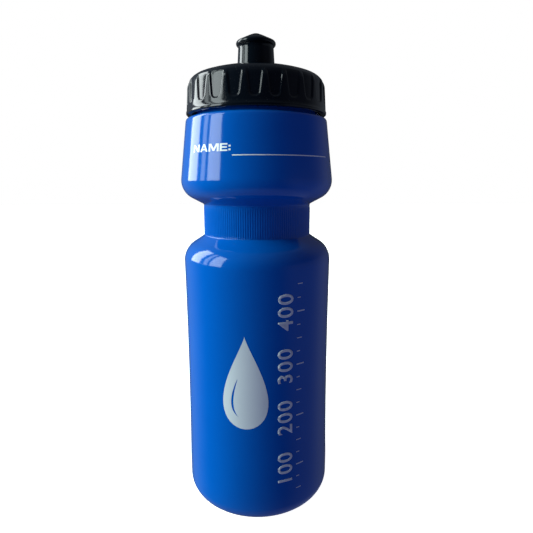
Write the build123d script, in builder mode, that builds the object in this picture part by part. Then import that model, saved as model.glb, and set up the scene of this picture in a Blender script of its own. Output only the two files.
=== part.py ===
from build123d import *
import os

# A squeeze sports bottle for a bicycle cage: a blow-moulded blue bottle with a ribbed grip waist, a fluted
# black screw cap with a spout, a soft sealing ring inside the cap, and a push-pull nozzle on the spout.
# Millimetres, +Z up. The origin is the centre of the standing ring, on the surface that the bottle stands on.
# The bottle is drawn closed: cap screwed home, nozzle pushed down.

os.makedirs("parts", exist_ok=True)

# Bottle, from the base upwards
wall = 1.1
punt_height = 3.0  # rise of the hollow under the base
foot_inner_radius = 25.5
heel_radius = 8.0
body_radius = 36.9
seat_top = 19.0  # top of the true cylinder that a bottle cage holds
panel_radius = 36.3  # the squeezed middle of the side wall
panel_z = 82.0
shoulder_radius = 36.6
shoulder_z = 124.7
shoulder_turn_radius = 10.6
shoulder_turn = 57.2  # degrees that the shoulder turns before it runs straight to the waist
waist_radius = 26.3
waist_top = 152.3
bulge_slope = 28.0  # degrees above level at which the upper bulge leaves the waist
bulge_turn_radius = 9.3
bulge_radius = 36.9
bulge_lean = 6.5  # degrees that the upper wall leans inwards
collar_turn_radius = 1.8
collar_z = 192.3
neck_radius = 28.7
mouth_radius = 26.8
rim_z = 206.0
rim_fillet = 0.5

# Screw thread, right-handed, single start
lead = 5.0
thread_turns = 1.25
thread_root = 2.6  # width where it leaves the neck
thread_crest = 1.1
thread_height = 1.5
thread_embed = 0.3  # how far a thread ridge is sunk into the wall that carries it
thread_start_z = 197.0
thread_play = 0.15  # axial gap between the closed threads' flanks
cap_thread_height = 1.4
cap_thread_root = 2.4
cap_thread_start_z = 196.4

# Cap
skirt_z = 193.9
skirt_radius = 33.45
skirt_band = 1.1  # height of the plain band round the skirt's foot
band_step = 0.25
skirt_top_z = 205.5
skirt_top_radius = 32.6
cap_turn_radius = 6.45
cap_turn = 67.0  # degrees that the cap's edge turns before the dome
dome_radius = 59.0
dome_turn = 17.7  # degrees that the dome turns before the spout's boss
cap_bore_radius = 30.7
ceiling = 1.8
seat_z = 207.6
lip_outer_radius = 26.3  # a lip inside the cap that centres the sealing ring and enters the mouth
lip_inner_radius = 25.0
lip_foot = 204.5
boss_height = 0.75
flute_count = 24
flute_depth = 0.7
flute_top_width = 8.0
flute_foot_width = 4.2
flute_foot_z = 197.4
flute_foot_fillet = 1.6
flute_top_z = 209.5  # the flute's straight floor has run out of the cap's rounded edge below this height

# Spout on the cap
post_radius = 6.6
post_bore_radius = 5.2
post_top = 226.6
bead_radius = 7.15
bead_height = 1.5
bead_chamfer = 0.4
pin_radius = 2.45
pin_top = 230.9
pin_foot = 218.0
pin_fillet = 0.9
vane_count = 3
vane_thickness = 1.2
vane_height = 5.0

# Push-pull nozzle
nozzle_foot = 215.4
nozzle_foot_radius = 8.9
bite_radius = 9.35  # the rounded edge that teeth or fingers pull on
bite_turn_radius = 1.2
bite_z = 226.4
bite_under = 83.0  # degrees below level at which the neck meets the rounded edge
nozzle_slope = 26.0  # degrees that the nozzle's top slopes
nozzle_bore_radius = 7.25
grip_radius = 6.7  # inner bead that holds the nozzle on the post
grip_height = 1.6
nozzle_skin = 1.5
nozzle_hole_radius = 2.6
nozzle_hole_fillet = 0.3
nozzle_travel = 7.0
nozzle_play = 0.2  # left between the two beads when the nozzle is pulled up

# Sealing ring
seal_clearance = 0.3
seal_fillet = 0.3


def write(part, name):
    """Labels a finished part and writes its STEP file."""
    part.label = name
    export_step(part, f"parts/{name}.step")


def above(centre, radius, x):
    """The point of a circle that is above its centre, at that x."""
    return Vector(x, centre.Y + (radius**2 - (x - centre.X) ** 2) ** 0.5)


def thread_ridge(radius, height, root, crest, start_z, turns, outward=True):
    """A helical ridge with a trapezoid section, standing out of (or into) a cylinder of that radius."""
    side = 1 if outward else -1
    slope = (root - crest) / 2 / height
    foot = root / 2 + thread_embed * slope
    path = Location((0, 0, start_z)) * Helix(lead, lead * turns, radius)
    with BuildPart(mode=Mode.PRIVATE) as ridge:
        with BuildSketch(Plane(origin=path @ 0, x_dir=(1, 0, 0), z_dir=path % 0)) as section:
            with BuildLine():
                Polyline(
                    (-side * thread_embed, -foot),
                    (side * height, -crest / 2),
                    (side * height, crest / 2),
                    (-side * thread_embed, foot),
                    close=True,
                )
            make_face()
        sweep(path=path, is_frenet=True)
    return ridge.part


# --- Bottle -------------------------------------------------------------------------------------------

neck_ridge = thread_ridge(neck_radius, thread_height, thread_root, thread_crest, thread_start_z, thread_turns)

with BuildPart() as bottle_body:
    with BuildSketch(Plane.XZ):
        with BuildLine():
            punt = TangentArc((0, punt_height), (foot_inner_radius, 0), tangent=(1, 0))
            foot = Line(punt @ 1, (body_radius - heel_radius, 0))
            heel = JernArc(foot @ 1, (1, 0), heel_radius, 90)
            seat = Line(heel @ 1, (body_radius, seat_top))
            panel = ThreePointArc(seat @ 1, (panel_radius, panel_z), (shoulder_radius, shoulder_z))
            shoulder = JernArc(panel @ 1, (0, 1), shoulder_turn_radius, shoulder_turn)
            fall = PolarLine(
                shoulder @ 1,
                (shoulder @ 1).X - waist_radius,
                90 + shoulder_turn,
                length_mode=LengthMode.HORIZONTAL,
            )
            waist = Line(fall @ 1, (waist_radius, waist_top))
            flare_span = bulge_radius - bulge_turn_radius - waist_radius
            flare_span += bulge_turn_radius * Vector(1, 0).rotate(Axis.Z, bulge_slope - 90).X
            flare = PolarLine(waist @ 1, flare_span, bulge_slope, length_mode=LengthMode.HORIZONTAL)
            bulge = JernArc(flare @ 1, flare % 1, bulge_turn_radius, 90 + bulge_lean - bulge_slope)
            lean_rise = collar_z - (bulge @ 1).Y
            lean_rise -= collar_turn_radius * (1 - Vector(1, 0).rotate(Axis.Z, bulge_lean).Y)
            lean = PolarLine(bulge @ 1, lean_rise, 90 + bulge_lean, length_mode=LengthMode.VERTICAL)
            collar = JernArc(lean @ 1, lean % 1, collar_turn_radius, 90 - bulge_lean)
            Polyline(collar @ 1, (neck_radius, collar_z), (neck_radius, rim_z), (0, rim_z), punt @ 0)
        make_face()
        mirror(about=Plane.YZ)
        offset(amount=-wall, kind=Kind.INTERSECTION, mode=Mode.SUBTRACT)
        with Locations((0, collar_z - wall)):
            Rectangle(2 * neck_radius, rim_z - collar_z + wall, align=(Align.CENTER, Align.MIN))
            Rectangle(
                2 * mouth_radius,
                rim_z - collar_z + wall,
                align=(Align.CENTER, Align.MIN),
                mode=Mode.SUBTRACT,
            )
        split(bisect_by=Plane.YZ)
    revolve(axis=Axis.Z)
    fillet(bottle_body.faces().sort_by(Axis.Z)[-1].edges(), rim_fillet)
    add(neck_ridge)

write(bottle_body.part, "bottle_body")

# --- Cap ----------------------------------------------------------------------------------------------

# The bead on the spout stops the nozzle's inner bead at the top of its travel. The cap's thread lies under
# the bottle's with a little play, so it starts further round, where the helix has climbed above the skirt.
bead_z = nozzle_foot + grip_height + nozzle_travel + nozzle_play
thread_flank = (thread_root - thread_crest) / 2 / thread_height
cap_crest_gap = cap_bore_radius - cap_thread_height - neck_radius
cap_thread_drop = thread_root / 2 - thread_flank * cap_crest_gap + thread_crest / 2 + thread_play
cap_thread_angle = (cap_thread_start_z - thread_start_z + cap_thread_drop) / lead * 360

floor_foot = skirt_radius - band_step - flute_depth
floor_rise = (flute_top_z - flute_foot_z) / (skirt_top_z - flute_foot_z)
floor_top = floor_foot - (skirt_radius - band_step - skirt_top_radius) * floor_rise

cap_ridge = thread_ridge(
    cap_bore_radius,
    cap_thread_height,
    cap_thread_root,
    thread_crest,
    cap_thread_start_z,
    thread_turns,
    outward=False,
)

with BuildPart() as flutes:
    with BuildSketch(Plane.XZ):
        with BuildLine():
            Polyline(
                (floor_foot, flute_foot_z),
                (floor_top, flute_top_z),
                (skirt_radius, flute_top_z),
                (skirt_radius, flute_foot_z),
                close=True,
            )
        make_face()
    revolve(axis=Axis.Z)
    with BuildSketch(Plane.XZ) as flute_front:
        with BuildLine():
            Polyline(
                (-flute_foot_width / 2, flute_foot_z),
                (flute_foot_width / 2, flute_foot_z),
                (flute_top_width / 2, flute_top_z),
                (-flute_top_width / 2, flute_top_z),
                close=True,
            )
        make_face()
        fillet(flute_front.vertices().group_by(Axis.Y)[0], flute_foot_fillet)
    extrude(amount=skirt_radius, mode=Mode.INTERSECT)
    with PolarLocations(0, flute_count):
        add(flutes.part, mode=Mode.ADD)

with BuildPart() as screw_cap:
    with BuildSketch(Plane.XZ):
        with BuildLine():
            band_top = skirt_z + skirt_band
            skirt = Polyline(
                (cap_bore_radius, skirt_z),
                (skirt_radius, skirt_z),
                (skirt_radius, band_top),
                (skirt_radius - band_step, band_top + band_step),
                (skirt_top_radius, skirt_top_z),
            )
            edge = JernArc(skirt @ 1, skirt % 1, cap_turn_radius, cap_turn)
            dome = JernArc(edge @ 1, edge % 1, dome_radius, dome_turn)
            dome_centre = dome @ 1 - (dome % 1).rotate(Axis.Z, -90) * dome_radius
            under_top = above(dome_centre, dome_radius - ceiling, post_bore_radius)
            under_foot = above(dome_centre, dome_radius - ceiling, lip_inner_radius)
            boss_top = (dome @ 1).Y + boss_height
            Polyline(
                dome @ 1,
                ((dome @ 1).X, boss_top),
                (post_radius, boss_top),
                (post_radius, post_top),
                (post_bore_radius, post_top),
                under_top,
            )
            RadiusArc(under_top, under_foot, dome_radius - ceiling)
            Polyline(
                under_foot,
                (lip_inner_radius, lip_foot),
                (lip_outer_radius, lip_foot),
                (lip_outer_radius, seat_z),
                (cap_bore_radius, seat_z),
                (cap_bore_radius, skirt_z),
            )
        make_face()
    revolve(axis=Axis.Z)

    # Bead, plug pin and the vanes that hold the pin in the middle of the spout
    with BuildSketch(Plane.XZ) as bead_section:
        with Locations((post_bore_radius, bead_z)):
            Rectangle(bead_radius - post_bore_radius, bead_height, align=(Align.MIN, Align.MIN))
        chamfer(bead_section.vertices().group_by(Axis.X)[-1], bead_chamfer)
    revolve(axis=Axis.Z)
    with BuildSketch(Plane.XY.offset(pin_foot)):
        Circle(pin_radius)
    extrude(amount=pin_top - pin_foot)
    fillet(screw_cap.faces().sort_by(Axis.Z)[-1].edges(), pin_fillet)
    with BuildSketch(Plane.XY.offset(pin_foot)):
        with PolarLocations(0, vane_count):
            Rectangle(
                (post_bore_radius + post_radius) / 2, vane_thickness, align=(Align.MIN, Align.CENTER)
            )
    extrude(amount=vane_height)

    # Thread inside the skirt and grip flutes round it
    add(cap_ridge, rotation=(0, 0, cap_thread_angle))
    add(flutes.part, mode=Mode.SUBTRACT)

write(screw_cap.part, "screw_cap")

# --- Sealing ring -------------------------------------------------------------------------------------

with BuildPart() as seal_ring:
    with BuildSketch(Plane.XY.offset(rim_z)):
        Circle(cap_bore_radius - seal_clearance)
        Circle(lip_outer_radius + seal_clearance, mode=Mode.SUBTRACT)
    extrude(amount=seat_z - rim_z)
    fillet(seal_ring.edges().filter_by(GeomType.CIRCLE), seal_fillet)

write(seal_ring.part, "seal_ring")

# --- Push-pull nozzle ---------------------------------------------------------------------------------

with BuildPart() as push_pull_nozzle:
    with BuildSketch(Plane.XZ):
        with BuildLine():
            bite = CenterArc(
                (bite_radius - bite_turn_radius, bite_z),
                bite_turn_radius,
                -bite_under,
                bite_under + 90 - nozzle_slope,
            )
            top = PolarLine(
                bite @ 1,
                (bite @ 1).X - nozzle_hole_radius,
                180 - nozzle_slope,
                length_mode=LengthMode.HORIZONTAL,
            )
            over_bore = ((top @ 0).X - nozzle_bore_radius) / ((top @ 0).X - nozzle_hole_radius)
            Polyline(
                top @ 1,
                top @ 1 - Vector(0, nozzle_skin),
                top @ over_bore - Vector(0, nozzle_skin),
                (nozzle_bore_radius, nozzle_foot + grip_height),
                (grip_radius, nozzle_foot + grip_height),
                (grip_radius, nozzle_foot),
                (nozzle_foot_radius, nozzle_foot),
                bite @ 0,
            )
        make_face()
    revolve(axis=Axis.Z)
    fillet(push_pull_nozzle.edges().group_by(Axis.Z)[-1], nozzle_hole_fillet)

write(push_pull_nozzle.part, "push_pull_nozzle")
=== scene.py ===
import math

import bmesh
import bpy
import numpy as np
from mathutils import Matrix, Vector
from mathutils.bvhtree import BVHTree


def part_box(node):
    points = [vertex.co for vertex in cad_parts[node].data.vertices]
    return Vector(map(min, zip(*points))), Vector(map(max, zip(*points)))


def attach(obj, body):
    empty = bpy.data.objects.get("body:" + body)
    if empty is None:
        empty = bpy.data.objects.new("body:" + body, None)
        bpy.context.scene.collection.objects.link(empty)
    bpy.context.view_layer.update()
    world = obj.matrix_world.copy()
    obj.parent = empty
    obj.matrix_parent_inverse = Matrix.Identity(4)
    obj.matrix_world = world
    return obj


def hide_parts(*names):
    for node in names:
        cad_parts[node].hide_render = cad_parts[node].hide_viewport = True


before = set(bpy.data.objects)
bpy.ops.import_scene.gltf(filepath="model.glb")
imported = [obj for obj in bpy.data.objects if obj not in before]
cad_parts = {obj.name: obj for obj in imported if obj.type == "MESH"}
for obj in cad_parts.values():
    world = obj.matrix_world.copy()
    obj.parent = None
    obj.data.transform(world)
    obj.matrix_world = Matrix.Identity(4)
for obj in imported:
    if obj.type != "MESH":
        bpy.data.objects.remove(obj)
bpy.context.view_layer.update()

# A squeeze sports bottle: blue bottle with a ribbed waist, fluted black screw cap, soft sealing ring and
# push-pull nozzle. Metres, +Z up, origin at the centre of the standing ring, front towards -Y.

mm = 0.001
full_turn = 2 * math.pi

bottle_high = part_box("bottle_body")[1]
cap_low, cap_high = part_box("screw_cap")
nozzle_low, nozzle_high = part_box("push_pull_nozzle")
seal_low, seal_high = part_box("seal_ring")

# Bottle
body_radius = bottle_high.x
rim_z = bottle_high.z
wall = 1.1 * mm
base_rows = 16  # points across the hollow under the base
punt_height = 3.0 * mm
foot_radius = 25.5 * mm
heel_turn = 8.0 * mm
panel_radius = 36.3 * mm
panel_z = 82.0 * mm
seat_top = 19.0 * mm
shoulder_radius = 36.6 * mm
shoulder_z = 124.7 * mm
shoulder_turn = 10.6 * mm
shoulder_sweep = 57.2  # degrees
waist_radius = 26.3 * mm
waist_top = 152.3 * mm
waist_fillet = 0.7 * mm
flare_slope = 28.0  # degrees above level
bulge_turn = 9.3 * mm
wall_lean = 6.5  # degrees
collar_turn = 1.8 * mm
collar_z = 192.3 * mm
neck_radius = 28.7 * mm
mouth_radius = 26.8 * mm
rib_count = 150
rib_depth = 0.15 * mm
columns_per_rib = 4

# Threads on the neck and in the cap
lead = 5.0 * mm
thread_turns = 1.25
thread_crest = 1.1 * mm
thread_embed = 0.2 * mm
neck_thread_z = 197.0 * mm
neck_thread_height = 1.5 * mm
neck_thread_root = 2.6 * mm
cap_thread_z = 196.4 * mm
cap_thread_height = 1.4 * mm
cap_thread_root = 2.4 * mm
cap_thread_angle = 79.2  # degrees between the starts of the two threads

# Cap
bore_radius = 30.7 * mm
skirt_radius = 33.2 * mm
band_radius = cap_high.x
band_height = 1.1 * mm
skirt_top_z = 205.5 * mm
skirt_top_radius = 32.6 * mm
cap_turn = 6.45 * mm
cap_sweep = 67.0  # degrees
dome_radius = 59.0 * mm
dome_sweep = 17.7  # degrees
boss_height = 0.75 * mm
ceiling = 1.8 * mm
seat_z = seal_high.z
lip_foot = 204.5 * mm
lip_outer = 26.3 * mm
lip_inner = 25.0 * mm
post_radius = 6.6 * mm
post_bore = 5.2 * mm
post_top = 226.6 * mm
bead_radius = 7.15 * mm
bead_z = 224.2 * mm
pin_radius = 2.45 * mm
pin_foot = 218.0 * mm
flute_count = 24
flute_depth = 0.62 * mm
flute_wall = 0.8 * mm
flute_foot_z = 197.4 * mm
flute_foot_turn = 1.9 * mm
flute_foot_half = 2.35 * mm
flute_top_half = 3.85 * mm
flute_top_z = 208.3 * mm
flute_span = skirt_top_z - flute_foot_z
run_out_blend = 0.35 * mm
run_out_z = 210.5 * mm

# Nozzle
bite_turn = 1.2 * mm
bite_z = 226.4 * mm
nozzle_slope = 26.0  # degrees
nozzle_neck = 8.3 * mm
nozzle_foot_radius = 8.9 * mm
nozzle_bore = 7.25 * mm
nozzle_grip = 6.7 * mm
grip_height = 1.6 * mm
nozzle_skin = 1.5 * mm
nozzle_hole = 2.6 * mm

# Seal
seal_width = 3.8 * mm

# Print; angles in degrees round the bottle from its front towards +X
film = 0.05 * mm
label_angle = -33.2
label_z = 177.2 * mm
label_width = 21.4 * mm
label_height = 3.2 * mm
line_angle = 23.4
line_z = 173.9 * mm
line_length = 50.0 * mm
line_width = 0.42 * mm
scale_angle = 21.4
level_volume = 25  # millilitres from one tick to the next
level_step = 25.5 * mm / 4
level_foot = 3.5 * mm  # the scale's nought, which allows for the volume of the rounded foot
first_level, last_level = 2, 18
figure_height = 7.6 * mm
figure_spread = 1.15
tick_start = 6.0 * mm
long_tick = (4.2 * mm, 0.6 * mm)  # length and width
middle_tick = (2.8 * mm, 0.4 * mm)
short_tick = (1.8 * mm, 0.4 * mm)
drop_angle = -8.4
drop_z = 72.5 * mm
drop_width = 24.0 * mm
drop_height = 45.0 * mm

# Window
window_distance = 1.1
window_low = 0.16
window_high = 1.25

# Camera
camera_place = (4.8 * mm, -225 * mm, 162.7 * mm)
camera_dip = 10.72  # degrees below level
camera_roll = 0.15  # degrees
camera_lens = 30.06  # millimetres


# --- Meshes and objects ------------------------------------------------------------------------------


def in_scene(name, data):
    """A new object with this data, linked to the scene."""
    obj = bpy.data.objects.new(name, data)
    bpy.context.scene.collection.objects.link(obj)
    return obj


def evaluated(obj):
    """A plain mesh of the object as it is with its modifiers."""
    depsgraph = bpy.context.evaluated_depsgraph_get()
    return bpy.data.meshes.new_from_object(obj.evaluated_get(depsgraph), depsgraph=depsgraph)


def finished_mesh(name, work):
    """A new mesh from a bmesh, which is then freed."""
    mesh = bpy.data.meshes.new(name)
    work.to_mesh(mesh)
    work.free()
    return mesh


# --- Outlines ----------------------------------------------------------------------------------------


def arc(centre, radius, start, end, count):
    """Points on an arc in the (radius, height) plane; angles in degrees, 0 pointing outwards."""
    turns = np.radians(np.linspace(start, end, count))
    return [(centre[0] + radius * math.cos(t), centre[1] + radius * math.sin(t)) for t in turns]


def line(start, end, count):
    """Points on a line, without its first one."""
    return [tuple(p) for p in np.linspace(start, end, count + 1)[1:]]


def corner(before, at, after, radius, count=5):
    """A rounded corner between two straight runs that meet at a point."""
    at = Vector(at)
    back = (Vector(before) - at).normalized()
    on = (Vector(after) - at).normalized()
    half = back.angle(on) / 2
    centre = at + (back + on).normalized() * (radius / math.sin(half))
    start = at + back * (radius / math.tan(half)) - centre
    end = at + on * (radius / math.tan(half)) - centre
    turn = start.angle_signed(end)
    points = []
    for step in range(count):
        share = -turn * step / (count - 1)
        c, s = math.cos(share), math.sin(share)
        points.append((centre.x + c * start.x - s * start.y, centre.y + s * start.x + c * start.y))
    return points


def rounded(points, radii, count):
    """The corners of a run of straight stretches, each rounded by its own radius."""
    rows = []
    for before, at, after, radius in zip(points, points[1:], points[2:], radii):
        rows += corner(before, at, after, radius, count)
    return rows


def set_in(points, distance):
    """The same outline moved to its left by a distance, as the inside of a wall."""
    p = np.array(points)
    along = np.gradient(p, axis=0)
    along /= np.linalg.norm(along, axis=1)[:, None]
    return p + distance * np.stack([-along[:, 1], along[:, 0]], axis=1)


def bottle_outline():
    """The outside from the middle of the base up to the collar, as (radius, height) points."""
    dish = (foot_radius**2 + punt_height**2) / (2 * punt_height)
    rise = math.degrees(math.asin(foot_radius / dish))
    points = arc((0, punt_height - dish), dish, 90, 90 - rise, base_rows)
    points += line(points[-1], (body_radius - heel_turn, 0), 3)
    points += arc((body_radius - heel_turn, heel_turn), heel_turn, -90, 0, 14)[1:]
    points += line(points[-1], (body_radius, seat_top), 2)
    low, middle, high = (body_radius, seat_top), (panel_radius, panel_z), (shoulder_radius, shoulder_z)
    span = np.linspace(seat_top, shoulder_z, 16)[1:]
    bend = np.polyfit([p[1] for p in (low, middle, high)], [p[0] for p in (low, middle, high)], 2)
    points += [(np.polyval(bend, z), z) for z in span]
    points += arc((shoulder_radius - shoulder_turn, shoulder_z), shoulder_turn, 0, shoulder_sweep, 12)[1:]
    fall = (points[-1][0] - waist_radius) * math.tan(math.radians(90 - shoulder_sweep))
    waist_foot = (waist_radius, points[-1][1] + fall)
    waist_head = (waist_radius, waist_top)
    points += corner(points[-1], waist_foot, waist_head, waist_fillet)
    bulge_x = body_radius - bulge_turn
    flare_x = bulge_x + bulge_turn * math.sin(math.radians(flare_slope))
    flare_z = waist_top + (flare_x - waist_radius) * math.tan(math.radians(flare_slope))
    bulge_z = flare_z + bulge_turn * math.cos(math.radians(flare_slope))
    head = corner(waist_foot, waist_head, (flare_x, flare_z), waist_fillet)
    points += line(points[-1], head[0], 8) + head[1:]
    points += line(points[-1], (flare_x, flare_z), 3)
    points += arc((bulge_x, bulge_z), bulge_turn, flare_slope - 90, wall_lean, 14)[1:]
    lean = math.radians(wall_lean)
    lean_top = collar_z - collar_turn * (1 - math.sin(lean))
    lean_x = points[-1][0] - (lean_top - points[-1][1]) * math.tan(lean)
    points += line(points[-1], (lean_x, lean_top), 6)
    collar_x = lean_x - collar_turn * math.cos(lean)
    points += arc((collar_x, collar_z - collar_turn), collar_turn, wall_lean, 90, 9)[1:]
    return points


def bottle_profile():
    """The whole wall of the bottle: outside, neck, rim and inside. Also the number of outside points."""
    outside = bottle_outline()
    inside = [tuple(p) for p in set_in(outside, wall)]
    inside[0] = (0, inside[0][1])
    neck_foot = (neck_radius, collar_z)
    rim_turn = 0.5 * mm
    neck = corner(outside[-1], neck_foot, (neck_radius, rim_z), 0.8 * mm)
    neck += line(neck[-1], (neck_radius, rim_z - rim_turn), 3)
    neck += arc((neck_radius - rim_turn, rim_z - rim_turn), rim_turn, 0, 90, 5)[1:]
    neck += arc((mouth_radius + rim_turn, rim_z - rim_turn), rim_turn, 90, 180, 5)
    neck += corner((mouth_radius, rim_z), (mouth_radius, collar_z - wall), inside[-1], 0.8 * mm)
    keep = 3  # every third inside row is enough, since nothing fine is on the inside
    last = len(inside) - 1
    downwards = [p for i, p in enumerate(inside[::-1]) if i % keep == 0 or i == last]
    return outside + neck + downwards, len(outside)


def nozzle_profile():
    """The nozzle's wall as a closed outline."""
    bite_x = nozzle_high.x - bite_turn
    neck_turn = -math.degrees(math.acos((nozzle_neck - bite_x) / bite_turn))
    points = [(nozzle_grip + 0.3 * mm, nozzle_low.z)]
    points += corner(points[0], (nozzle_foot_radius, nozzle_low.z), (nozzle_neck, bite_z), 0.35 * mm)
    neck_end = (nozzle_neck, bite_z + bite_turn * math.sin(math.radians(neck_turn)))
    points += line(points[-1], neck_end, 6)
    points += arc((bite_x, bite_z), bite_turn, neck_turn, 90 - nozzle_slope, 14)[1:]
    fall = math.tan(math.radians(nozzle_slope))
    edge = points[-1]
    crown = (nozzle_hole, edge[1] + (edge[0] - nozzle_hole) * fall)
    points += line(edge, (crown[0] + 1.0 * mm, crown[1] - 1.0 * mm * fall), 4)
    points += corner(edge, crown, (nozzle_hole, crown[1] - nozzle_skin), 0.3 * mm)[1:]
    over_bore = edge[1] + (edge[0] - nozzle_bore) * fall - nozzle_skin
    grip_top = nozzle_low.z + grip_height
    points += [
        (nozzle_hole, crown[1] - nozzle_skin),
        (nozzle_bore - 0.2 * mm, over_bore),
        (nozzle_bore, over_bore - 0.2 * mm),
        (nozzle_bore, grip_top + 0.3 * mm),
        (nozzle_grip, grip_top - 0.2 * mm),
        (nozzle_grip, nozzle_low.z + 0.3 * mm),
    ]
    return points + [points[0]]


def seal_profile():
    """The sealing ring's section: a rectangle with softened corners."""
    inner, outer = seal_high.x - seal_width, seal_high.x
    low, high = seal_low.z, seal_high.z
    turn = 0.3 * mm
    points = arc((outer - turn, low + turn), turn, -90, 0, 5)
    points += arc((outer - turn, high - turn), turn, 0, 90, 5)
    points += arc((inner + turn, high - turn), turn, 90, 180, 5)
    points += arc((inner + turn, low + turn), turn, 180, 270, 5)
    return points + [points[0]]


# --- Geometry node trees -----------------------------------------------------------------------------


def put(tree, kind, inputs=None, **settings):
    """Adds a node; inputs maps a socket's name or number to a value or to the socket that feeds it."""
    made = tree.nodes.new(kind)
    for name, value in settings.items():
        setattr(made, name, value)
    for name, value in (inputs or {}).items():
        socket = made.inputs[name]
        if isinstance(value, bpy.types.NodeSocket):
            tree.links.new(value, socket)
        else:
            socket.default_value = value
    return made


def calc(tree, operation, *terms):
    """The result of a Math node with these terms."""
    return put(tree, "ShaderNodeMath", dict(enumerate(terms)), operation=operation).outputs[0]


def times(tree, first, *others):
    """The product of several terms."""
    for term in others:
        first = calc(tree, "MULTIPLY", first, term)
    return first


def plus(tree, first, *others):
    """The sum of several terms."""
    for term in others:
        first = calc(tree, "ADD", first, term)
    return first


def minus(tree, first, second):
    """The difference of two terms."""
    return calc(tree, "SUBTRACT", first, second)


def ramp(tree, value, start, end, low=0.0, high=1.0):
    """A value smoothly stepped from low to high between start and end."""
    terms = {"Value": value, "From Min": start, "From Max": end, "To Min": low, "To Max": high}
    return put(tree, "ShaderNodeMapRange", terms, interpolation_type="SMOOTHSTEP").outputs["Result"]


def new_tree(name, sort, inputs, outputs):
    """A node group with named sockets; each input is (name, kind of socket, default or None)."""
    tree = bpy.data.node_groups.new(name, sort)
    for label, kind, default in inputs:
        socket = tree.interface.new_socket(label, in_out="INPUT", socket_type="NodeSocket" + kind)
        if default is not None:
            socket.default_value = default
    for label, kind in outputs:
        tree.interface.new_socket(label, in_out="OUTPUT", socket_type="NodeSocket" + kind)
    return tree, put(tree, "NodeGroupInput"), put(tree, "NodeGroupOutput")


def finish_tree(tree, start, end, mesh):
    """Realizes the instances, smooths the shading, sets the material and connects the output."""
    whole = put(tree, "GeometryNodeRealizeInstances", {"Geometry": mesh})
    smooth = put(tree, "GeometryNodeSetShadeSmooth", {"Geometry": whole.outputs[0], "Shade Smooth": True})
    painted = put(
        tree,
        "GeometryNodeSetMaterial",
        {"Geometry": smooth.outputs[0], "Material": start.outputs["Material"]},
    )
    tree.links.new(painted.outputs[0], end.inputs[0])


def lathe_group():
    """Turns the outline in the incoming mesh's points into a closed skin, before its seam is joined."""
    tree, start, end = new_tree(
        "Lathe",
        "GeometryNodeTree",
        [("Outline", "Geometry", None), ("Columns", "Int", 96)],
        [("Skin", "Geometry"), ("Row", "Float"), ("Angle", "Float")],
    )
    outline = start.outputs["Outline"]
    rows = put(tree, "GeometryNodeAttributeDomainSize", {0: outline}, component="MESH")
    across = plus(tree, start.outputs["Columns"], 1.0)
    size = {"Vertices X": rows.outputs["Point Count"], "Vertices Y": across}
    grid = put(tree, "GeometryNodeMeshGrid", size)
    index = put(tree, "GeometryNodeInputIndex").outputs[0]
    row = calc(tree, "FLOOR", calc(tree, "DIVIDE", plus(tree, index, 0.5), across))
    column = minus(tree, index, times(tree, row, across))
    angle = times(tree, calc(tree, "DIVIDE", column, start.outputs["Columns"]), full_turn)
    place = put(tree, "GeometryNodeInputPosition").outputs[0]
    sample = {"Geometry": outline, "Value": place, "Index": row}
    point = put(tree, "GeometryNodeSampleIndex", sample, data_type="FLOAT_VECTOR")
    split = put(tree, "ShaderNodeSeparateXYZ", {0: point.outputs[0]}).outputs
    turned = {
        "X": times(tree, split["X"], calc(tree, "COSINE", angle)),
        "Y": times(tree, split["X"], calc(tree, "SINE", angle)),
        "Z": split["Z"],
    }
    spot = put(tree, "ShaderNodeCombineXYZ", turned).outputs[0]
    skin = put(tree, "GeometryNodeSetPosition", {"Geometry": grid.outputs["Mesh"], "Position": spot})
    tree.links.new(skin.outputs[0], end.inputs["Skin"])
    tree.links.new(row, end.inputs["Row"])
    tree.links.new(angle, end.inputs["Angle"])
    return tree


def welded(tree, mesh):
    """The mesh with its seams and poles closed."""
    return put(tree, "GeometryNodeMergeByDistance", {"Geometry": mesh, "Distance": 0.002 * mm}).outputs[0]


def turned_tree(lathe):
    """A plain turned piece."""
    tree, start, end = new_tree(
        "Turned Piece",
        "GeometryNodeTree",
        [("Outline", "Geometry", None), ("Columns", "Int", 128), ("Material", "Material", None)],
        [("Mesh", "Geometry")],
    )
    skin = put(tree, "GeometryNodeGroup", node_tree=lathe)
    tree.links.new(start.outputs["Outline"], skin.inputs["Outline"])
    tree.links.new(start.outputs["Columns"], skin.inputs["Columns"])
    finish_tree(tree, start, end, welded(tree, skin.outputs["Skin"]))
    return tree


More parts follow.
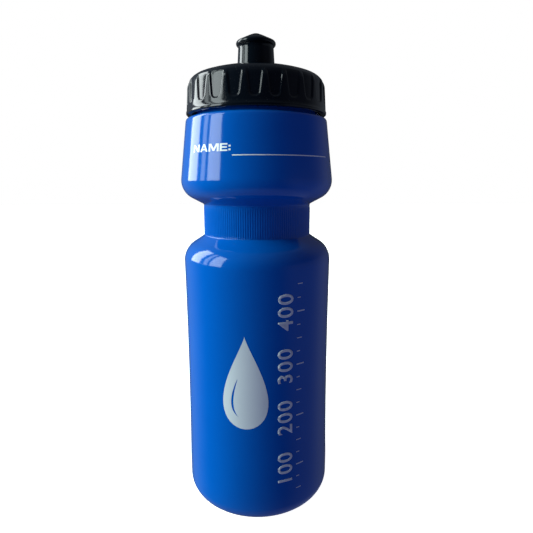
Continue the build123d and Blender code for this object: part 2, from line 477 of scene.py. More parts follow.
def bottle_tree(lathe):
    """The bottle's wall: turned, ribbed at the waist, with parting lines, pinch-off and faint waviness."""
    tree, start, end = new_tree(
        "Blown Bottle",
        "GeometryNodeTree",
        [
            ("Outline", "Geometry", None),
            ("Columns", "Int", 600),
            ("Outside Rows", "Int", 80),
            ("Base Rows", "Int", 16),
            ("Ribs", "Int", 150),
            ("Rib Depth", "Float", 0.0001),
            ("Rib Low", "Float", 0.137),
            ("Rib High", "Float", 0.152),
            ("Rib Reach", "Float", 0.027),
            ("Line Height", "Float", 0.00006),
            ("Pinch Height", "Float", 0.0005),
            ("Pinch Half Length", "Float", 0.018),
            ("Waviness", "Float", 0.00004),
            ("Material", "Material", None),
        ],
        [("Mesh", "Geometry")],
    )
    take = start.outputs
    skin = put(tree, "GeometryNodeGroup", node_tree=lathe)
    tree.links.new(take["Outline"], skin.inputs["Outline"])
    tree.links.new(take["Columns"], skin.inputs["Columns"])
    row, angle = skin.outputs["Row"], skin.outputs["Angle"]
    place = put(tree, "GeometryNodeInputPosition").outputs[0]
    where = put(tree, "ShaderNodeSeparateXYZ", {0: place}).outputs
    flat = put(tree, "ShaderNodeCombineXYZ", {"X": where["X"], "Y": where["Y"], "Z": 0.0}).outputs[0]
    radius = put(tree, "ShaderNodeVectorMath", {0: flat}, operation="LENGTH").outputs["Value"]
    outwards = put(tree, "ShaderNodeVectorMath", {0: flat}, operation="NORMALIZE").outputs[0]
    outside = calc(tree, "LESS_THAN", row, minus(tree, take["Outside Rows"], 0.5))
    beyond_base = calc(tree, "GREATER_THAN", row, take["Base Rows"])

    edge = 0.35 * mm
    above = ramp(tree, where["Z"], minus(tree, take["Rib Low"], edge), take["Rib Low"])
    below = ramp(tree, where["Z"], take["Rib High"], plus(tree, take["Rib High"], edge), 1.0, 0.0)
    near = calc(tree, "LESS_THAN", radius, take["Rib Reach"])
    ribbed = times(tree, above, below, near)
    wave = calc(tree, "COSINE", times(tree, angle, take["Ribs"]))
    ribs = times(tree, wave, ribbed, take["Rib Depth"])

    line_half = 0.004  # the sine of half the angle that a parting line takes up
    on_line = calc(tree, "LESS_THAN", calc(tree, "ABSOLUTE", calc(tree, "SINE", angle)), line_half)
    parting = times(tree, on_line, beyond_base, take["Line Height"])
    noise = put(tree, "ShaderNodeTexNoise", {"Vector": place, "Scale": 26.0, "Detail": 1.0}).outputs[0]
    waves = times(tree, minus(tree, noise, 0.5), take["Waviness"], beyond_base)
    push = times(tree, plus(tree, parting, waves, ribs), outside)

    across = ramp(tree, calc(tree, "ABSOLUTE", where["Y"]), 0.25 * mm, 0.8 * mm, 1.0, 0.0)
    reach = take["Pinch Half Length"]
    fade = minus(tree, reach, 2 * mm)
    along = ramp(tree, calc(tree, "ABSOLUTE", where["X"]), fade, reach, 1.0, 0.0)
    in_base = times(tree, minus(tree, 1.0, beyond_base), outside)
    drop = times(tree, across, along, in_base, take["Pinch Height"], -1.0)

    sideways = put(tree, "ShaderNodeVectorMath", {0: outwards, "Scale": push}, operation="SCALE").outputs[0]
    down = put(tree, "ShaderNodeCombineXYZ", {"Z": drop}).outputs[0]
    offset = put(tree, "ShaderNodeVectorMath", {0: sideways, 1: down}, operation="ADD").outputs[0]
    shaped = put(tree, "GeometryNodeSetPosition", {"Geometry": skin.outputs["Skin"], "Offset": offset})
    finish_tree(tree, start, end, welded(tree, shaped.outputs[0]))
    return tree


def thread_tree():
    """A screw thread's ridge: the incoming section swept along a helix that runs out at both ends."""
    tree, start, end = new_tree(
        "Screw Thread",
        "GeometryNodeTree",
        [
            ("Section", "Geometry", None),
            ("Radius", "Float", 0.0287),
            ("Start Z", "Float", 0.197),
            ("Start Angle", "Float", 0.0),
            ("Lead", "Float", 0.005),
            ("Turns", "Float", 1.25),
            ("Steps", "Int", 200),
            ("Run Out", "Float", 0.06),
            ("Material", "Material", None),
        ],
        [("Mesh", "Geometry")],
    )
    take = start.outputs
    steps = put(tree, "GeometryNodeMeshLine", {"Count": take["Steps"]})
    index = put(tree, "GeometryNodeInputIndex").outputs[0]
    share = calc(tree, "DIVIDE", index, minus(tree, take["Steps"], 1.0))
    turned = times(tree, share, take["Turns"])
    angle = plus(tree, times(tree, turned, full_turn), take["Start Angle"])
    climb = {
        "X": times(tree, take["Radius"], calc(tree, "COSINE", angle)),
        "Y": times(tree, take["Radius"], calc(tree, "SINE", angle)),
        "Z": plus(tree, take["Start Z"], times(tree, turned, take["Lead"])),
    }
    spot = put(tree, "ShaderNodeCombineXYZ", climb).outputs[0]
    helix = put(tree, "GeometryNodeSetPosition", {"Geometry": steps.outputs[0], "Position": spot})
    path = put(tree, "GeometryNodeMeshToCurve", {0: helix.outputs[0]})
    level = put(tree, "GeometryNodeSetCurveNormal", {0: path.outputs[0]}, mode="Z_UP")
    share_on = put(tree, "GeometryNodeSplineParameter").outputs["Factor"]
    rise = ramp(tree, share_on, 0.0, take["Run Out"], 0.05, 1.0)
    fall = ramp(tree, share_on, minus(tree, 1.0, take["Run Out"]), 1.0, 1.0, 0.05)
    section = put(tree, "GeometryNodeMeshToCurve", {0: take["Section"]})
    ridge = put(
        tree,
        "GeometryNodeCurveToMesh",
        {
            "Curve": level.outputs[0],
            "Profile Curve": section.outputs[0],
            "Fill Caps": True,
            "Scale": times(tree, rise, fall),
        },
    )
    finish_tree(tree, start, end, ridge.outputs[0])
    return tree


def ring_tree():
    """Copies of the incoming sector turned round the axis and joined edge to edge."""
    tree, start, end = new_tree(
        "Ring Of Sectors",
        "GeometryNodeTree",
        [("Sector", "Geometry", None), ("Count", "Int", 24), ("Material", "Material", None)],
        [("Mesh", "Geometry")],
    )
    take = start.outputs
    spots = put(tree, "GeometryNodeMeshLine", {"Count": take["Count"], "Offset": (0, 0, 0)})
    index = put(tree, "GeometryNodeInputIndex").outputs[0]
    turn = times(tree, calc(tree, "DIVIDE", index, take["Count"]), full_turn)
    way = put(tree, "ShaderNodeCombineXYZ", {"Z": turn}).outputs[0]
    facing = put(tree, "FunctionNodeEulerToRotation", {0: way}).outputs[0]
    copies = put(
        tree,
        "GeometryNodeInstanceOnPoints",
        {"Points": spots.outputs[0], "Instance": take["Sector"], "Rotation": facing},
    )
    whole = put(tree, "GeometryNodeRealizeInstances", {0: copies.outputs[0]})
    finish_tree(tree, start, end, welded(tree, whole.outputs[0]))
    return tree


def grown(name, mesh, tree, **values):
    """Runs a tree on a mesh with these named inputs, and returns the result as a plain mesh object."""
    obj = in_scene(name, mesh)
    modifier = obj.modifiers.new(tree.name, "NODES")
    modifier.node_group = tree
    for item in tree.interface.items_tree:
        if item.in_out == "INPUT" and item.name in values:
            modifier[item.identifier] = values[item.name]
    result = evaluated(obj)
    obj.modifiers.remove(modifier)
    obj.data = result
    result.name = name
    result.materials.clear()
    result.materials.append(values["Material"])
    result.polygons.foreach_set("material_index", [0] * len(result.polygons))
    face_outwards(result)
    return obj


def face_outwards(mesh):
    """Turns every closed skin of a mesh so that its faces look away from the material."""
    work = bmesh.new()
    work.from_mesh(mesh)
    bmesh.ops.recalc_face_normals(work, faces=work.faces)
    work.to_mesh(mesh)
    work.free()


def outline_mesh(name, points):
    """An outline in the XZ plane as a mesh of edges."""
    mesh = bpy.data.meshes.new(name)
    edges = [(i, i + 1) for i in range(len(points) - 1)]
    mesh.from_pydata([(x, 0.0, z) for x, z in points], edges, [])
    return mesh


def section_mesh(name, height, root, side):
    """A thread's section in the XY plane, with rounded crest; side is 1 outwards and -1 inwards."""
    half = thread_crest / 2
    foot = root / 2 + thread_embed * (root / 2 - half) / height
    shape = [(-thread_embed, -foot)]
    ridge = [(0, -root / 2), (height, -half), (height, half), (0, root / 2)]
    shape += rounded(ridge, (0.3 * mm, 0.3 * mm), 4)
    shape += [(-thread_embed, foot)]
    mesh = bpy.data.meshes.new(name)
    count = len(shape)
    edges = [(i, (i + 1) % count) for i in range(count)]
    mesh.from_pydata([(side * x, y, 0.0) for x, y in shape], edges, [])
    return mesh


def merge_pieces(name, *pieces):
    """Joins several objects' meshes into the first one's object."""
    work = bmesh.new()
    for piece in pieces:
        work.from_mesh(piece.data)
    mesh = finished_mesh(name, work)
    mesh.materials.append(pieces[0].data.materials[0])
    first = pieces[0]
    first.data = mesh
    first.name = name
    for piece in pieces[1:]:
        bpy.data.objects.remove(piece)
    return first


# --- Cap sector --------------------------------------------------------------------------------------


def smooth(share):
    """0 to 1 with soft ends."""
    share = np.clip(share, 0, 1)
    return share * share * (3 - 2 * share)


def cap_rows():
    """The cap's closed wall as (radius, height) rows."""
    skirt_z = cap_low.z
    band_top = skirt_z + band_height
    low_turn = 0.35 * mm
    rows = arc((bore_radius + low_turn, skirt_z + low_turn), low_turn, 180, 270, 4)
    band_foot, band_head = (band_radius, skirt_z), (band_radius, band_top)
    rows += corner((bore_radius, skirt_z), band_foot, band_head, low_turn, 4)
    rows += corner(band_foot, band_head, (skirt_radius, band_top + 0.3 * mm), 0.15 * mm, 3)
    rows += line(rows[-1], (skirt_radius, band_top + 0.35 * mm), 1)
    slope = (skirt_top_radius - skirt_radius) / (skirt_top_z - rows[-1][1])
    start = rows[-1]

    def on_skirt(z):
        return (start[0] + (z - start[1]) * slope, z)

    foot_end = flute_foot_z + flute_foot_turn
    rows += line(start, on_skirt(flute_foot_z - flute_wall), 1)
    rows += line(rows[-1], on_skirt(foot_end), 14)
    rows += line(rows[-1], on_skirt(skirt_top_z), 8)
    lean = math.degrees(math.atan(-slope))
    centre_x = rows[-1][0] - cap_turn * math.cos(math.radians(lean))
    centre_z = rows[-1][1] - cap_turn * math.sin(math.radians(lean))
    rows += arc((centre_x, centre_z), cap_turn, lean, lean + 40, 21)[1:]
    rows += arc((centre_x, centre_z), cap_turn, lean + 40, lean + cap_sweep, 5)[1:]
    reach = dome_radius - cap_turn
    dome_x = centre_x - reach * math.cos(math.radians(lean + cap_sweep))
    dome_z = centre_z - reach * math.sin(math.radians(lean + cap_sweep))
    top_turn = lean + cap_sweep + dome_sweep
    rows += arc((dome_x, dome_z), dome_radius, lean + cap_sweep, top_turn, 9)[1:]
    boss = rows[-1]
    boss_top = boss[1] + boss_height
    boss_edge, post_foot = (boss[0], boss_top), (post_radius, boss_top)
    post_head, bore_head = (post_radius, post_top), (post_bore, post_top)
    post = [rows[-2], boss, boss_edge, post_foot, post_head]
    rows += rounded(post, (0.25 * mm, 0.25 * mm, 0.3 * mm), 4)[1:]
    bead_top = bead_z + 1.5 * mm
    bead_foot, bead_head = (post_radius, bead_z), (post_radius, bead_top)
    low_edge, high_edge = (bead_radius, bead_z + 0.4 * mm), (bead_radius, bead_top - 0.4 * mm)
    bead = [post_foot, bead_foot, low_edge, high_edge, bead_head, post_head]
    rows += rounded(bead, (0.12 * mm, 0.2 * mm, 0.2 * mm, 0.12 * mm), 3)
    rows += rounded([bead_head, post_head, bore_head, (post_bore, boss_top)], (0.3 * mm, 0.3 * mm), 4)
    under = dome_radius - ceiling
    under_top = math.degrees(math.acos((post_bore + 0.3 * mm - dome_x) / under))
    under_foot = math.degrees(math.acos((lip_inner - 0.4 * mm - dome_x) / under))
    rows += [(post_bore, dome_z + under * math.sin(math.radians(under_top)) + 0.3 * mm)]
    rows += arc((dome_x, dome_z), under, under_top, under_foot, 7)
    rows += [(lip_inner, rows[-1][1] - 0.5 * mm)]
    lip = [(lip_inner, seat_z), (lip_inner, lip_foot), (lip_outer, lip_foot), (lip_outer, seat_z)]
    lip += [(bore_radius, seat_z), (bore_radius, skirt_z)]
    rows += rounded(lip, (0.25 * mm, 0.25 * mm, 0.2 * mm, 0.3 * mm), 3)
    return rows + [rows[0]]


def flute_share(across, z, half):
    """How much of the flute's depth is cut at a distance across from its middle, at a height."""
    side = across - (half - flute_foot_turn)
    foot = flute_foot_turn - (z - flute_foot_z)
    outside = np.hypot(np.maximum(side, 0), np.maximum(foot, 0)) + np.minimum(np.maximum(side, foot), 0)
    return smooth((flute_foot_turn - outside) / flute_wall)


def flute_floor(z):
    """The radius of the flutes' straight floor at a height."""
    return skirt_radius - flute_depth - (skirt_radius - skirt_top_radius) * (z - flute_foot_z) / flute_span


def cap_sector():
    """One flute's sector of the cap, from the middle of one land to the middle of the next."""
    sector = full_turn / flute_count
    rows = cap_rows()
    outer_skin = bore_radius + 0.8 * mm  # only rows beyond this radius are fluted
    columns = 24
    verts, faces = [], []
    for x, z in rows:
        half = np.interp(z, [flute_foot_z, flute_top_z], [flute_foot_half, flute_top_half])
        edge, land = (half - flute_wall) / skirt_radius, half / skirt_radius
        fluted = x > outer_skin and flute_foot_z - flute_wall < z < run_out_z
        cut = x - flute_floor(z) if fluted else 0.0
        if fluted and z > skirt_top_z - run_out_blend:
            cut = (cut + math.hypot(cut, run_out_blend)) / 2
        for column in range(columns + 1):
            share = column / columns * 2 - 1
            across = np.interp(abs(share), [0, 0.42, 0.83, 1], [0, edge, land, sector / 2])
            angle = math.copysign(across, share) - math.pi / 2
            r = x - cut * flute_share(across * skirt_radius, z, half)
            verts.append((r * math.cos(angle), r * math.sin(angle), z))
    for row in range(len(rows) - 1):
        for column in range(columns):
            a = row * (columns + 1) + column
            b = a + columns + 1
            faces.append((a, a + 1, b + 1, b))
    mesh = bpy.data.meshes.new("cap_sector")
    mesh.from_pydata(verts, [], faces)
    return mesh


def vane_mesh():
    """One vane between the plug pin and the spout's wall."""
    work = bmesh.new()
    bmesh.ops.create_cube(work, size=1.0)
    start, stop = pin_radius - 0.6 * mm, post_bore + 0.4 * mm
    for v in work.verts:
        v.co.x = start + (v.co.x + 0.5) * (stop - start)
        v.co.y *= 1.2 * mm
        v.co.z = pin_foot + (v.co.z + 0.5) * 5.0 * mm
    bmesh.ops.bevel(work, geom=work.edges[:], offset=0.2 * mm, segments=2, affect="EDGES")
    return finished_mesh("vane", work)


def pin_profile():
    """The plug pin, closed at both ends on the axis."""
    top = cap_high.z
    points = [(0.0, pin_foot)]
    points += corner((0, pin_foot), (pin_radius, pin_foot), (pin_radius, top), 0.3 * mm, 4)
    points += corner((pin_radius, pin_foot), (pin_radius, top - 0.25 * mm), (0, top), 0.8 * mm, 6)
    points.append((0.0, top))
    return points


# --- Materials ---------------------------------------------------------------------------------------


def moulded_skin_group():
    """The slight unevenness of moulded plastic: broad ripples, fine grain and a changing gloss."""
    tree, start, end = new_tree(
        "Moulded Skin",
        "ShaderNodeTree",
        [
            ("Ripple Scale", "Float", 60.0),
            ("Grain Scale", "Float", 2500.0),
            ("Grain Share", "Float", 0.2),
            ("Gloss", "Float", 0.15),
            ("Gloss Spread", "Float", 0.06),
        ],
        [("Height", "Float"), ("Roughness", "Float"), ("Cloud", "Float")],
    )
    take = start.outputs
    place = put(tree, "ShaderNodeTexCoord").outputs["Object"]
    ripple = put(tree, "ShaderNodeTexNoise", {"Vector": place, "Scale": take["Ripple Scale"], "Detail": 1.0})
    grain = put(tree, "ShaderNodeTexNoise", {"Vector": place, "Scale": take["Grain Scale"], "Detail": 2.0})
    cloud = put(tree, "ShaderNodeTexNoise", {"Vector": place, "Scale": 45.0, "Detail": 4.0, "Roughness": 0.6})
    grained = times(tree, grain.outputs[0], take["Grain Share"])
    tree.links.new(plus(tree, ripple.outputs[0], grained), end.inputs["Height"])
    swing = times(tree, minus(tree, cloud.outputs[0], 0.5), take["Gloss Spread"])
    tree.links.new(plus(tree, take["Gloss"], swing), end.inputs["Roughness"])
    tree.links.new(cloud.outputs[0], end.inputs["Cloud"])
    return tree


def handling_group():
    """Hairline scratches and specks of dust, as masks."""
    tree, start, end = new_tree(
        "Handling Marks",
        "ShaderNodeTree",
        [
            ("Scratch Scale", "Float", 120.0),
            ("Scratch Width", "Float", 0.012),
            ("Dust Scale", "Float", 900.0),
            ("Dust Amount", "Float", 0.1),
        ],
        [("Scratches", "Float"), ("Dust", "Float")],
    )
    take = start.outputs
    place = put(tree, "ShaderNodeTexCoord").outputs["Object"]
    bend = put(tree, "ShaderNodeTexNoise", {"Vector": place, "Scale": 35.0, "Detail": 2.0})
    bent = put(tree, "ShaderNodeVectorMath", {0: bend.outputs["Color"], "Scale": 0.02}, operation="SCALE")
    moved = put(tree, "ShaderNodeVectorMath", {0: place, 1: bent.outputs[0]}, operation="ADD")
    lines = put(
        tree,
        "ShaderNodeTexVoronoi",
        {"Vector": moved.outputs[0], "Scale": take["Scratch Scale"]},
        feature="DISTANCE_TO_EDGE",
    )
    near = calc(tree, "LESS_THAN", lines.outputs["Distance"], take["Scratch Width"])
    patches = put(tree, "ShaderNodeTexNoise", {"Vector": place, "Scale": 90.0, "Detail": 3.0})
    kept = ramp(tree, patches.outputs[0], 0.62, 0.72)
    tree.links.new(times(tree, near, kept), end.inputs["Scratches"])
    specks = put(tree, "ShaderNodeTexVoronoi", {"Vector": place, "Scale": take["Dust Scale"]}, feature="F1")
    small = calc(tree, "LESS_THAN", specks.outputs["Distance"], take["Dust Amount"])
    tree.links.new(small, end.inputs["Dust"])
    return tree


skin = moulded_skin_group()
handling = handling_group()


def grouped(tree, group, **values):
    """Places a shader group with its own values."""
    made = put(tree, "ShaderNodeGroup", node_tree=group)
    for name, value in values.items():
        made.inputs[name.replace("_", " ").title()].default_value = value
    return made


def mixed(tree, share, first, second):
    """Two colours mixed by a share."""
    return put(tree, "ShaderNodeMix", {0: share, 6: first, 7: second}, data_type="RGBA").outputs[2]


def new_material(name, ior):
    """A material with its node tree and the inputs of its surface."""
    material = bpy.data.materials.new(name)
    material.use_nodes = True
    surface = material.node_tree.nodes["Principled BSDF"].inputs
    surface["IOR"].default_value = ior
    return material, material.node_tree, surface


def bumped(tree, surface, height, distance):
    """Shades the surface as if it had this relief."""
    relief = put(tree, "ShaderNodeBump", {"Strength": 1.0, "Distance": distance, "Height": height})
    tree.links.new(relief.outputs[0], surface["Normal"])


def plastic(name, base, shade, ior, bump, dust, **skin_values):
    """A moulded plastic: two close colours, changing gloss, ripples and faint marks of handling."""
    material, tree, surface = new_material(name, ior)
    made = grouped(tree, skin, **skin_values).outputs
    marks = grouped(tree, handling, dust_amount=dust).outputs
    clouded = mixed(tree, made["Cloud"], base, shade)
    dusty = mixed(tree, times(tree, marks["Dust"], 0.05), clouded, (0.6, 0.6, 0.58, 1))
    tree.links.new(dusty, surface["Base Color"])
    scuffs = times(tree, marks["Scratches"], 0.12)
    tree.links.new(plus(tree, made["Roughness"], scuffs), surface["Roughness"])
    bumped(tree, surface, made["Height"], bump)
    return material


def printing_ink(name, colour, second, roughness):
    """Screen-printing ink: a satin film with a slightly uneven cover."""
    material, tree, surface = new_material(name, 1.5)
    values = dict(gloss=roughness, gloss_spread=0.1, grain_scale=4000.0, grain_share=0.6)
    made = grouped(tree, skin, **values).outputs
    tree.links.new(mixed(tree, made["Cloud"], colour, second), surface["Base Color"])
    tree.links.new(made["Roughness"], surface["Roughness"])
    bumped(tree, surface, made["Height"], 0.01 * mm)
    return material


# --- Printing ----------------------------------------------------------------------------------------


def figures(words, height, spread=1.0):
    """Plain figures as a flat mesh, centred on the origin, of a given height."""
    curve = bpy.data.curves.new("figures", "FONT")
    curve.body = words
    curve.size = 1.0
    curve.space_character = spread
    curve.resolution_u = 6
    curve.offset = 0.012
    obj = in_scene("figures", curve)
    mesh = evaluated(obj)
    bpy.data.objects.remove(obj)
    co = np.array([v.co for v in mesh.vertices])
    low, high = co.min(0), co.max(0)
    scale = height / (high[1] - low[1])
    middle = (low + high) / 2
    for v in mesh.vertices:
        v.co.x = (v.co.x - middle[0]) * scale
        v.co.y = (v.co.y - middle[1]) * scale
    return mesh


def flat_shape(name, *loops):
    """Filled flat outlines; a loop inside another one is a hole in it."""
    work = bmesh.new()
    for points in loops:
        verts = [work.verts.new((x, y, 0)) for x, y in points]
        for a, b in zip(verts, verts[1:] + verts[:1]):
            work.edges.new((a, b))
    bmesh.ops.triangle_fill(work, use_beauty=True, use_dissolve=False, edges=work.edges[:])
    return finished_mesh(name, work)


# Wide block capitals for the owner's name label: each is its width and its loops, 1 high
block_capitals = {
    "N": (
        1.15,
        [
            [(0, 0), (0, 1), (0.3, 1), (0.9, 0.36), (0.9, 1), (1.15, 1), (1.15, 0), (0.87, 0)]
            + [(0.25, 0.65), (0.25, 0)]
        ],
    ),
    "A": (
        1.2,
        [
            [(0, 0), (0.46, 1), (0.74, 1), (1.2, 0), (0.93, 0), (0.85, 0.2), (0.35, 0.2), (0.27, 0)],
            [(0.43, 0.38), (0.77, 0.38), (0.6, 0.78)],
        ],
    ),
    "M": (
        1.4,
        [
            [(0, 0), (0, 1), (0.36, 1), (0.7, 0.36), (1.04, 1), (1.4, 1), (1.4, 0), (1.16, 0)]
            + [(1.16, 0.72), (0.81, 0.06), (0.59, 0.06), (0.24, 0.72), (0.24, 0)]
        ],
    ),
    "E": (
        0.95,
        [
            [(0, 0), (0, 1), (0.95, 1), (0.95, 0.81), (0.25, 0.81), (0.25, 0.6), (0.88, 0.6), (0.88, 0.41)]
            + [(0.25, 0.41), (0.25, 0.19), (0.95, 0.19), (0.95, 0)]
        ],
    ),
    ":": (
        0.24,
        [
            [(0, 0.06), (0, 0.3), (0.24, 0.3), (0.24, 0.06)],
            [(0, 0.54), (0, 0.78), (0.24, 0.78), (0.24, 0.54)],
        ],
    ),
}


def block_word(word, width, height, gap=0.15):
    """A word in wide block capitals, centred on the origin, of a given size."""
    span = sum(block_capitals[letter][0] for letter in word) + gap * (len(word) - 1)
    scale = width / span
    flats, at = [], -span / 2
    for letter in word:
        wide, loops = block_capitals[letter]
        shape = [[((at + x) * scale, (y - 0.5) * height) for x, y in loop] for loop in loops]
        flats.append(flat_shape(letter, *shape))
        at += wide + gap
    return flats


def bar(width, height, x=0.0, y=0.0):
    """A flat rectangle centred on a point."""
    w, h = width / 2, height / 2
    return flat_shape("bar", [(x - w, y - h), (x + w, y - h), (x + w, y + h), (x - w, y + h)])


def placed_flat(mesh, x=0.0, y=0.0, turn=0.0):
    """Turns a flat mesh by degrees and moves it in its own plane."""
    c, s = math.cos(math.radians(turn)), math.sin(math.radians(turn))
    for v in mesh.vertices:
        v.co.x, v.co.y = x + c * v.co.x - s * v.co.y, y + s * v.co.x + c * v.co.y
    return mesh


def print_on(name, flats, surface, angle, height, material, body):
    """Wraps flat shapes round the bottle as a thin raised film: x runs round it and y up it."""
    work = bmesh.new()
    for flat in flats:
        work.from_mesh(flat)
    bmesh.ops.remove_doubles(work, verts=work.verts, dist=0.001 * mm)
    for axis, step in ((0, 0.8 * mm), (1, 3.0 * mm)):
        low = min(v.co[axis] for v in work.verts)
        high = max(v.co[axis] for v in work.verts)
        normal = [0, 0, 0]
        normal[axis] = 1
        for at in np.arange(low + step, high, step):
            where = [0, 0, 0]
            where[axis] = at
            geometry = work.verts[:] + work.edges[:] + work.faces[:]
            bmesh.ops.bisect_plane(work, geom=geometry, plane_co=where, plane_no=normal, dist=0.001 * mm)
    bmesh.ops.recalc_face_normals(work, faces=work.faces)
    for face in work.faces:
        if face.normal.z < 0:
            face.normal_flip()
    bmesh.ops.dissolve_degenerate(work, dist=0.01 * mm, edges=work.edges[:])
    front = work.verts[:]
    sunk = bmesh.ops.extrude_face_region(work, geom=work.faces[:])
    back = [v for v in sunk["geom"] if isinstance(v, bmesh.types.BMVert)]
    for v in front:
        v.co.z = -film
    for v in back:
        v.co.z = film
    for v in work.verts:
        turn = angle + v.co.x / body_radius
        out = Vector((math.sin(turn), -math.cos(turn), 0))
        z = height + v.co.y
        start = out * 0.1 + Vector((0, 0, z))
        hit = surface.ray_cast(start, -out)[0]
        v.co = hit + out * v.co.z
    bmesh.ops.recalc_face_normals(work, faces=work.faces)
    mesh = finished_mesh(name, work)
    mesh.materials.append(material)
    obj = in_scene(name, mesh)
    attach(obj, body)
    return obj


def drop_outline(width, height, count=48):
    """A plain drop of water, point up, centred on the origin."""
    points = []
    for step in range(count):
        t = full_turn * step / count
        points.append((width / 2 * math.sin(t) * math.sin(t / 2) ** 1.5 * 1.3, height / 2 * math.cos(t)))
    return points


# --- The pieces --------------------------------------------------------------------------------------

blue = plastic(
    "blue_squeeze_plastic",
    base=(0.0, 0.066, 0.36, 1),
    shade=(0.0, 0.076, 0.40, 1),
    ior=1.5,
    bump=0.05 * mm,
    dust=0.06,
    gloss=0.09,
    gloss_spread=0.04,
    ripple_scale=70.0,
    grain_share=0.03,
)
black = plastic(
    "black_cap_plastic",
    base=(0.0014, 0.0030, 0.0060, 1),
    shade=(0.0024, 0.0040, 0.0080, 1),
    ior=1.5,
    bump=0.04 * mm,
    dust=0.1,
    gloss=0.12,
    gloss_spread=0.06,
    ripple_scale=110.0,
    grain_share=0.05,
)
nozzle_black = plastic(
    "black_nozzle_plastic",
    base=(0.0012, 0.0028, 0.0056, 1),
    shade=(0.0022, 0.0038, 0.0074, 1),
    ior=1.48,
    bump=0.012 * mm,
    dust=0.08,
    gloss=0.09,
    gloss_spread=0.04,
    ripple_scale=160.0,
    grain_share=0.02,
)
grey_foam = plastic(
    "grey_seal_foam",
    base=(0.58, 0.60, 0.60, 1),
    shade=(0.66, 0.67, 0.66, 1),
    ior=1.45,
    bump=0.06 * mm,
    dust=0.05,
    gloss=0.6,
    gloss_spread=0.1,
    ripple_scale=400.0,
    grain_share=0.8,
)
white_ink = printing_ink("white_printing_ink", (0.60, 0.64, 0.68, 1), (0.68, 0.71, 0.74, 1), 0.35)
silver_ink = printing_ink("silver_printing_ink", (0.42, 0.46, 0.56, 1), (0.49, 0.53, 0.63, 1), 0.38)

lathe = lathe_group()
turned = turned_tree(lathe)
blown = bottle_tree(lathe)
threaded = thread_tree()
ringed = ring_tree()

bottle_points, outside_rows = bottle_profile()
waist_foot_z = min(z for x, z in bottle_points[:outside_rows] if abs(x - waist_radius) < 0.01 * mm)
bottle_wall = grown(
    "bottle_wall",
    outline_mesh("bottle_outline", bottle_points),
    blown,
    **{
        "Columns": rib_count * columns_per_rib,
        "Outside Rows": outside_rows,
        "Base Rows": base_rows,
        "Ribs": rib_count,
        "Rib Depth": rib_depth,
        "Rib Low": waist_foot_z,
        "Rib High": waist_top - 0.9 * mm,
        "Rib Reach": waist_radius + 0.5 * mm,
        "Material": blue,
    },
)
thread = {"Lead": lead, "Turns": thread_turns}
neck_thread = grown(
    "neck_thread",
    section_mesh("neck_section", neck_thread_height, neck_thread_root, 1),
    threaded,
    **thread,
    **{"Radius": neck_radius, "Start Z": neck_thread_z, "Start Angle": 0.0},
    Material=blue,
)
bottle = merge_pieces("bottle_shell", bottle_wall, neck_thread)

cap_wall = grown("cap_wall", cap_sector(), ringed, Count=flute_count, Material=black)
cap_thread = grown(
    "cap_thread",
    section_mesh("cap_section", cap_thread_height, cap_thread_root, -1),
    threaded,
    **thread,
    **{"Radius": bore_radius, "Start Z": cap_thread_z, "Start Angle": math.radians(cap_thread_angle)},
    Material=black,
)
vanes = grown("vanes", vane_mesh(), ringed, Count=3, Material=black)
pin = grown("pin", outline_mesh("pin_outline", pin_profile()), turned, Columns=72, Material=black)
cap = merge_pieces("fluted_cap", cap_wall, cap_thread, vanes, pin)

nozzle_wall = outline_mesh("nozzle_outline", nozzle_profile())
nozzle = grown("pull_nozzle", nozzle_wall, turned, Columns=144, Material=nozzle_black)
seal_section = outline_mesh("seal_outline", seal_profile())
seal = grown("soft_seal", seal_section, turned, Columns=160, Material=grey_foam)

for piece, node, body, slot in (
    (bottle, "bottle_body", "bottle", "bottle"),
    (cap, "screw_cap", "cap", "cap"),
    (nozzle, "push_pull_nozzle", "nozzle", "nozzle"),
    (seal, "seal_ring", "seal", "seal"),
):
    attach(piece, body)
    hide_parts(node)

# --- Print on the bottle ------------------------------------------------------------------------------

wrapped = BVHTree.FromPolygons(
    [v.co for v in bottle.data.vertices], [tuple(p.vertices) for p in bottle.data.polygons]
)

# A filling scale for the upright bottle: a figure every 100 ml and a tick every 25 ml from 50 ml up
scale_marks = []
for level in range(first_level, last_level + 1):
    z = level_foot + level * level_step
    numbered = level % 4 == 0
    tick = long_tick if numbered else middle_tick if level % 2 == 0 else short_tick
    scale_marks.append(bar(*tick, tick[0] / 2 + tick_start, z))
    if numbered:
        number = figures(str(level * level_volume), figure_height, figure_spread)
        scale_marks.append(placed_flat(number, 0.0, z, 90))

# A drop of water with a crescent of shine left out near its left edge
drop = drop_outline(drop_width, drop_height)
shine = [(x * 0.62, y * 0.62 - 3.5 * mm) for x, y in drop]
crescent = [p for p in shine if p[0] < -1.5 * mm and p[1] < 2 * mm]
crescent += [(x * 0.72 - 0.8 * mm, y) for x, y in reversed(crescent)]

label = block_word("NAME:", label_width, label_height)
writing = [bar(line_length, line_width)]
mark = [flat_shape("drop", drop, crescent)]
for name, flats, angle, z, ink, slot in (
    ("name_label", label, label_angle, label_z, white_ink, "ink_white"),
    ("writing_line", writing, line_angle, line_z, white_ink, "ink_white"),
    ("filling_scale", scale_marks, scale_angle, 0.0, silver_ink, "ink_silver"),
    ("drop_mark", mark, drop_angle, drop_z, silver_ink, "ink_silver"),
):
    print_on(name, flats, wrapped, math.radians(angle), z, ink, "bottle")

# --- Studio ------------------------------------------------------------------------------------------


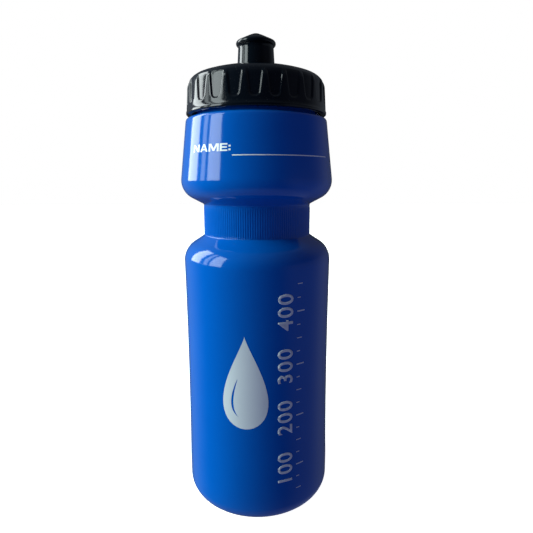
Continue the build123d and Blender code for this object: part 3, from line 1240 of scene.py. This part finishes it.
def window_pane(name, near, far, power, colour):
    """A soft light panel on the left, between two directions in degrees from the front."""
    near_y = -window_distance / math.tan(math.radians(near))
    far_y = -window_distance / math.tan(math.radians(far))
    light = bpy.data.lights.new(name, "AREA")
    light.shape = "RECTANGLE"
    light.size = far_y - near_y
    light.size_y = window_high - window_low
    light.energy = power * light.size * light.size_y
    light.color = colour
    obj = in_scene(name, light)
    obj.location = (-window_distance, (near_y + far_y) / 2, (window_low + window_high) / 2)
    obj.rotation_euler = (math.radians(90), 0, math.radians(-90))


def pale_floor():
    """A pale floor that neither shades nor tints the bottle."""
    bpy.ops.mesh.primitive_plane_add(size=6.0, location=(0, 0, -0.2 * mm))
    floor = bpy.context.object
    floor.name = "floor"
    pale, _, surface = new_material("pale_floor", 1.5)
    surface["Base Color"].default_value = (0.86, 0.86, 0.86, 1)
    surface["Roughness"].default_value = 0.9
    surface["Emission Color"].default_value = (1, 1, 1, 1)
    surface["Emission Strength"].default_value = 1.0
    floor.data.materials.append(pale)
    floor.visible_glossy = False
    floor.visible_diffuse = False
    floor.visible_shadow = False


def window_light():
    """A tall window of three panes on the left, and the daylight through it."""
    window_pane("near_pane", 54.0, 75.0, 18.0, (0.88, 1.0, 1.0))
    window_pane("middle_pane", 80.0, 88.0, 10.0, (0.88, 1.0, 1.0))
    window_pane("far_pane", 96.5, 120.0, 23.0, (0.92, 1.0, 1.0))

    # The daylight brightens the left side without a reflection of its own
    daylight = bpy.data.lights.new("daylight", "SUN")
    daylight.energy = 5.7
    daylight.angle = math.radians(40)
    daylight.color = (0.8, 1.0, 0.72)
    sun = in_scene("daylight", daylight)
    sun.rotation_euler = (math.radians(72), 0, math.radians(-86))
    sun.visible_glossy = False


def surroundings():
    """A soft bluish room that the bottle reflects and is lit by, seen as plain white by the camera."""
    world = bpy.data.worlds.new("studio")
    bpy.context.scene.world = world
    world.use_nodes = True
    tree = world.node_tree
    tree.nodes.clear()
    ray = put(tree, "ShaderNodeLightPath").outputs
    way = put(tree, "ShaderNodeTexCoord").outputs["Generated"]
    side = put(tree, "ShaderNodeSeparateXYZ", {0: way}).outputs
    behind = ramp(tree, side["Y"], -0.1, 0.6)
    left = times(tree, behind, ramp(tree, side["X"], 0.0, -0.9, 0.0, 0.30))
    level = ramp(tree, side["Z"], 0.05, 0.30, 1.0, 0.3)
    right = times(tree, level, ramp(tree, side["X"], 0.5, 0.9, 0.0, 0.12))
    back_right = times(tree, behind, ramp(tree, side["X"], 0.0, 0.6, 0.0, 0.10))
    over = ramp(tree, side["Z"], 0.2, 0.9, 0.0, 0.07)
    under = ramp(tree, side["Z"], -0.55, -0.85, 0.0, 0.2)
    gleam = plus(tree, left, right, back_right, under, over, 0.012)
    soft = ramp(tree, side["Z"], -0.4, 0.5, 0.42, 0.12)
    ambient = put(tree, "ShaderNodeBackground", {"Color": (0.55, 0.59, 1.0, 1), "Strength": soft})
    mirrored = put(tree, "ShaderNodeBackground", {"Color": (0.75, 0.85, 1.0, 1), "Strength": gleam})
    seen = put(tree, "ShaderNodeBackground", {"Color": (1, 1, 1, 1), "Strength": 1.0})
    glossy = {0: ray["Is Glossy Ray"], 1: ambient.outputs[0], 2: mirrored.outputs[0]}
    lit = put(tree, "ShaderNodeMixShader", glossy)
    direct = {0: ray["Is Camera Ray"], 1: lit.outputs[0], 2: seen.outputs[0]}
    shown = put(tree, "ShaderNodeMixShader", direct)
    put(tree, "ShaderNodeOutputWorld", {"Surface": shown.outputs[0]})


def camera():
    """A close view from a little above the middle."""
    data = bpy.data.cameras.new("camera")
    data.lens = camera_lens
    data.sensor_width = 36.0
    data.clip_start = 0.01
    obj = in_scene("camera", data)
    obj.location = camera_place
    obj.rotation_euler = (math.radians(90 - camera_dip), math.radians(camera_roll), 0)
    bpy.context.scene.camera = obj


bpy.context.scene.view_settings.view_transform = "Standard"
pale_floor()
window_light()
surroundings()
camera()
